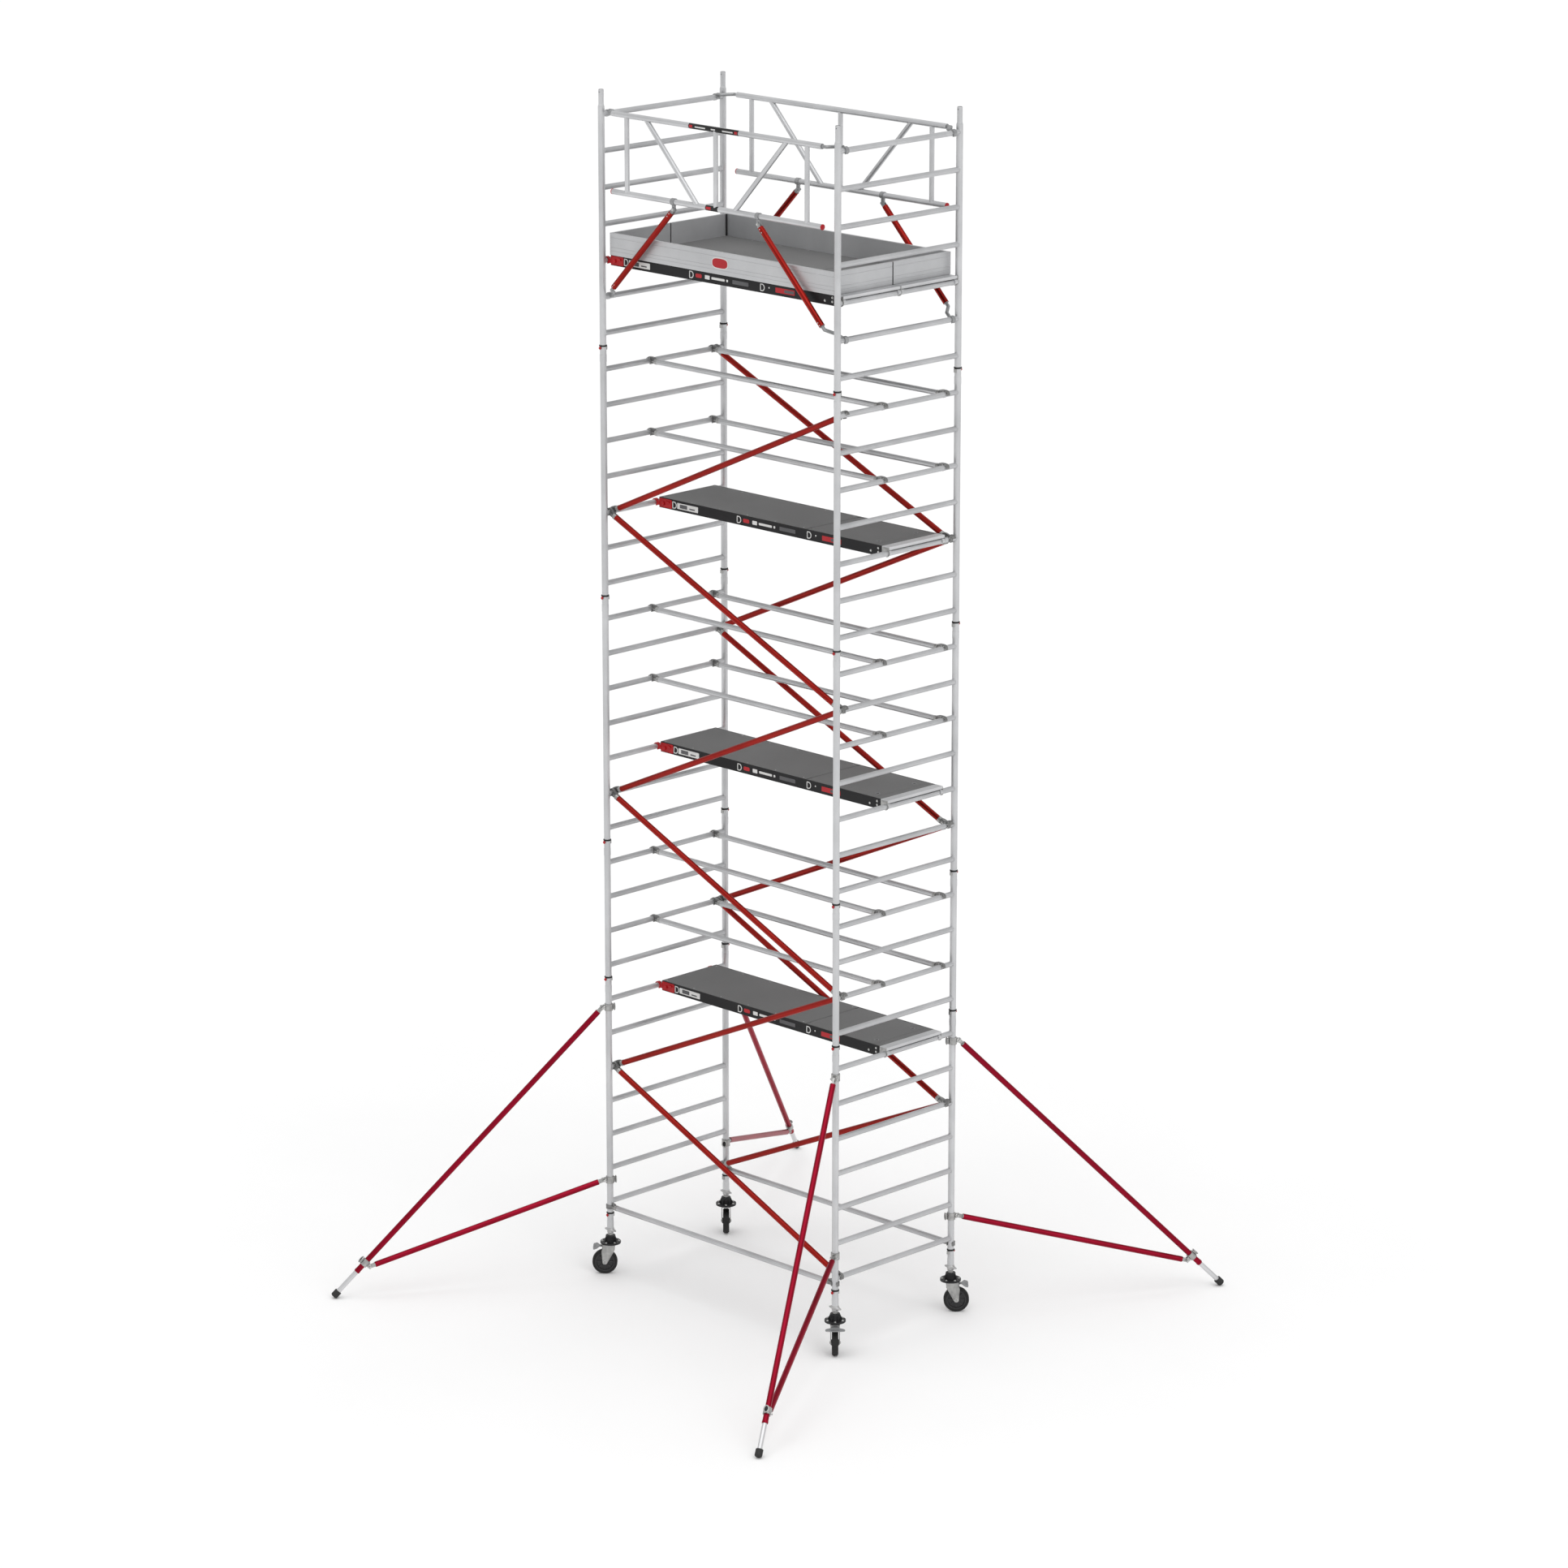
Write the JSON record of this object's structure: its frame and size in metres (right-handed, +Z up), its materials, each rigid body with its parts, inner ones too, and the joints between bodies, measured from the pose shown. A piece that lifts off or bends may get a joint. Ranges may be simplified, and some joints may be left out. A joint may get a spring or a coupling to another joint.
{
  "type": "mobile tower scaffold",
  "caption": "Tall rolling aluminium tower scaffold with ladder end frames, red diagonal braces, hatched platforms, guardrails, toe boards, outrigger stabilisers and braked casters.",
  "frame": {"origin": "on the floor under the middle of the tower", "axes": "+Z up along the posts; +X along the platforms, towards their hatch end; +Y towards the back face"},
  "size_m": [4.7962, 5.2082, 9.474],
  "materials": {
    "frame_tube": "satin, fluted",
    "zinc_fitting": "zinc plated",
    "clip_plastic": "matt black",
    "brace_tube": "satin, fluted",
    "brick_red_tube": "satin paint",
    "wind_lock_red": "satin",
    "deck_board": "dark film-faced plywood, matt",
    "black_beam": "satin black",
    "toe_board_metal": "fine ribs",
    "guard_tube": "satin",
    "grey_fitting": "satin grey",
    "crimson_tube": "gloss paint",
    "foot_tube": "satin, with a black rubber cap",
    "spindle_black": "black housing and flange, grey thread",
    "wheel_tyre": "black rubber on a grey hub",
    "pedal_grey": "matt grey",
    "cast_nut": "zinc plated casting"
  },
  "bodies": {
    "tower": {"left_end_frame_1": "frame_tube", "left_end_frame_2": "frame_tube", "left_end_frame_3": "frame_tube", "left_end_frame_4": "frame_tube", "left_end_frame_5": "frame_tube", "right_end_frame_1": "frame_tube", "right_end_frame_2": "frame_tube", "right_end_frame_3": "frame_tube", "right_end_frame_4": "frame_tube", "right_end_frame_5": "frame_tube", "locking_clips": "zinc_fitting", "clip_bands": "clip_plastic", "level_braces": "brace_tube", "diagonal_braces": "brick_red_tube", "brace_claws": "zinc_fitting", "platform_frame_1": "black_beam", "platform_frame_2": "black_beam", "platform_frame_3": "black_beam", "platform_frame_4": "black_beam", "platform_decks": "deck_board", "platform_end_hooks": "frame_tube", "wind_locks": "wind_lock_red", "toe_boards": "toe_board_metal", "guard_frame_front": "guard_tube", "guard_frame_back": "guard_tube", "guard_struts": "brick_red_tube", "guard_fittings": "grey_fitting", "wing_nuts": "cast_nut"},
    "hatch_1": {"hatch_1": "deck_board"},
    "hatch_2": {"hatch_2": "deck_board"},
    "hatch_3": {"hatch_3": "deck_board"},
    "hatch_4": {"hatch_4": "deck_board"},
    "caster_front_left_spindle": {"caster_front_left_spindle": "spindle_black"},
    "caster_front_left_fork": {"caster_front_left_fork": "zinc_fitting"},
    "caster_front_left_wheel": {"caster_front_left_wheel": "wheel_tyre"},
    "caster_front_left_brake_pedal": {"caster_front_left_brake_pedal": "pedal_grey"},
    "stabiliser_front_left": {"stabiliser_front_left_arms": "crimson_tube", "stabiliser_front_left_clamps": "zinc_fitting"},
    "stabiliser_front_left_foot": {"stabiliser_front_left_foot": "foot_tube"},
    "caster_front_right_spindle": {"caster_front_right_spindle": "spindle_black"},
    "caster_front_right_fork": {"caster_front_right_fork": "zinc_fitting"},
    "caster_front_right_wheel": {"caster_front_right_wheel": "wheel_tyre"},
    "caster_front_right_brake_pedal": {"caster_front_right_brake_pedal": "pedal_grey"},
    "stabiliser_front_right": {"stabiliser_front_right_arms": "crimson_tube", "stabiliser_front_right_clamps": "zinc_fitting"},
    "stabiliser_front_right_foot": {"stabiliser_front_right_foot": "foot_tube"},
    "caster_back_left_spindle": {"caster_back_left_spindle": "spindle_black"},
    "caster_back_left_fork": {"caster_back_left_fork": "zinc_fitting"},
    "caster_back_left_wheel": {"caster_back_left_wheel": "wheel_tyre"},
    "caster_back_left_brake_pedal": {"caster_back_left_brake_pedal": "pedal_grey"},
    "stabiliser_back_left": {"stabiliser_back_left_arms": "crimson_tube", "stabiliser_back_left_clamps": "zinc_fitting"},
    "stabiliser_back_left_foot": {"stabiliser_back_left_foot": "foot_tube"},
    "caster_back_right_spindle": {"caster_back_right_spindle": "spindle_black"},
    "caster_back_right_fork": {"caster_back_right_fork": "zinc_fitting"},
    "caster_back_right_wheel": {"caster_back_right_wheel": "wheel_tyre"},
    "caster_back_right_brake_pedal": {"caster_back_right_brake_pedal": "pedal_grey"},
    "stabiliser_back_right": {"stabiliser_back_right_arms": "crimson_tube", "stabiliser_back_right_clamps": "zinc_fitting"},
    "stabiliser_back_right_foot": {"stabiliser_back_right_foot": "foot_tube"}
  },
  "joints": [
    {"name": "hatch_1_hinge", "type": "hinge", "parent": "tower", "child": "hatch_1", "pos_m": [0.4, 0.19, 2.329], "axis": [0, -1, 0], "range_deg": [0, 95]},
    {"name": "hatch_2_hinge", "type": "hinge", "parent": "tower", "child": "hatch_2", "pos_m": [0.4, 0.19, 4.289], "axis": [0, -1, 0], "range_deg": [0, 95]},
    {"name": "hatch_3_hinge", "type": "hinge", "parent": "tower", "child": "hatch_3", "pos_m": [0.4, 0.19, 6.249], "axis": [0, -1, 0], "range_deg": [0, 95]},
    {"name": "hatch_4_hinge", "type": "hinge", "parent": "tower", "child": "hatch_4", "pos_m": [0.4, 0.305, 8.209], "axis": [0, -1, 0], "range_deg": [0, 95]},
    {"name": "caster_front_left_height", "type": "slide", "parent": "tower", "child": "caster_front_left_spindle", "axis": [0, 0, -1], "range_m": [0, 0.2]},
    {"name": "caster_front_left_swivel", "type": "hinge", "parent": "caster_front_left_spindle", "child": "caster_front_left_fork", "pos_m": [-1.253, -0.6435, 0.256], "axis": [0, 0, 1], "continuous": true},
    {"name": "caster_front_left_roll", "type": "hinge", "parent": "caster_front_left_fork", "child": "caster_front_left_wheel", "pos_m": [-1.28553, -0.67603, 0.1], "axis": [0.7071, -0.7071, 0], "continuous": true},
    {"name": "caster_front_left_brake", "type": "hinge", "parent": "caster_front_left_fork", "child": "caster_front_left_brake_pedal", "pos_m": [-1.28977, -0.68027, 0.226], "axis": [0.7071, -0.7071, 0], "range_deg": [0, 10]},
    {"name": "stabiliser_front_left_swing", "type": "hinge", "parent": "tower", "child": "stabiliser_front_left", "pos_m": [-1.253, -0.6435, 2.222], "axis": [0, 0, 1], "range_deg": [-45, 25]},
    {"name": "stabiliser_front_left_extend", "type": "slide", "parent": "stabiliser_front_left", "child": "stabiliser_front_left_foot", "axis": [-0.3523, -0.6102, -0.7096], "range_m": [0, 0.4]},
    {"name": "caster_front_right_height", "type": "slide", "parent": "tower", "child": "caster_front_right_spindle", "axis": [0, 0, -1], "range_m": [0, 0.2]},
    {"name": "caster_front_right_swivel", "type": "hinge", "parent": "caster_front_right_spindle", "child": "caster_front_right_fork", "pos_m": [1.253, -0.6435, 0.256], "axis": [0, 0, 1], "continuous": true},
    {"name": "caster_front_right_roll", "type": "hinge", "parent": "caster_front_right_fork", "child": "caster_front_right_wheel", "pos_m": [1.28553, -0.67603, 0.1], "axis": [0.7071, 0.7071, 0], "continuous": true},
    {"name": "caster_front_right_brake", "type": "hinge", "parent": "caster_front_right_fork", "child": "caster_front_right_brake_pedal", "pos_m": [1.28977, -0.68027, 0.226], "axis": [0.7071, 0.7071, 0], "range_deg": [0, 10]},
    {"name": "stabiliser_front_right_swing", "type": "hinge", "parent": "tower", "child": "stabiliser_front_right", "pos_m": [1.253, -0.6435, 2.222], "axis": [0, 0, 1], "range_deg": [-25, 45]},
    {"name": "stabiliser_front_right_extend", "type": "slide", "parent": "stabiliser_front_right", "child": "stabiliser_front_right_foot", "axis": [0.3523, -0.6102, -0.7096], "range_m": [0, 0.4]},
    {"name": "caster_back_left_height", "type": "slide", "parent": "tower", "child": "caster_back_left_spindle", "axis": [0, 0, -1], "range_m": [0, 0.2]},
    {"name": "caster_back_left_swivel", "type": "hinge", "parent": "caster_back_left_spindle", "child": "caster_back_left_fork", "pos_m": [-1.253, 0.6435, 0.256], "axis": [0, 0, 1], "continuous": true},
    {"name": "caster_back_left_roll", "type": "hinge", "parent": "caster_back_left_fork", "child": "caster_back_left_wheel", "pos_m": [-1.28553, 0.67603, 0.1], "axis": [-0.7071, -0.7071, 0], "continuous": true},
    {"name": "caster_back_left_brake", "type": "hinge", "parent": "caster_back_left_fork", "child": "caster_back_left_brake_pedal", "pos_m": [-1.28977, 0.68027, 0.226], "axis": [-0.7071, -0.7071, 0], "range_deg": [0, 10]},
    {"name": "stabiliser_back_left_swing", "type": "hinge", "parent": "tower", "child": "stabiliser_back_left", "pos_m": [-1.253, 0.6435, 2.222], "axis": [0, 0, 1], "range_deg": [-25, 45]},
    {"name": "stabiliser_back_left_extend", "type": "slide", "parent": "stabiliser_back_left", "child": "stabiliser_back_left_foot", "axis": [-0.3523, 0.6102, -0.7096], "range_m": [0, 0.4]},
    {"name": "caster_back_right_height", "type": "slide", "parent": "tower", "child": "caster_back_right_spindle", "axis": [0, 0, -1], "range_m": [0, 0.2]},
    {"name": "caster_back_right_swivel", "type": "hinge", "parent": "caster_back_right_spindle", "child": "caster_back_right_fork", "pos_m": [1.253, 0.6435, 0.256], "axis": [0, 0, 1], "continuous": true},
    {"name": "caster_back_right_roll", "type": "hinge", "parent": "caster_back_right_fork", "child": "caster_back_right_wheel", "pos_m": [1.28553, 0.67603, 0.1], "axis": [-0.7071, 0.7071, 0], "continuous": true},
    {"name": "caster_back_right_brake", "type": "hinge", "parent": "caster_back_right_fork", "child": "caster_back_right_brake_pedal", "pos_m": [1.28977, 0.68027, 0.226], "axis": [-0.7071, 0.7071, 0], "range_deg": [0, 10]},
    {"name": "stabiliser_back_right_swing", "type": "hinge", "parent": "tower", "child": "stabiliser_back_right", "pos_m": [1.253, 0.6435, 2.222], "axis": [0, 0, 1], "range_deg": [-45, 25]},
    {"name": "stabiliser_back_right_extend", "type": "slide", "parent": "stabiliser_back_right", "child": "stabiliser_back_right_foot", "axis": [0.3523, 0.6102, -0.7096], "range_m": [0, 0.4]}
  ]
}
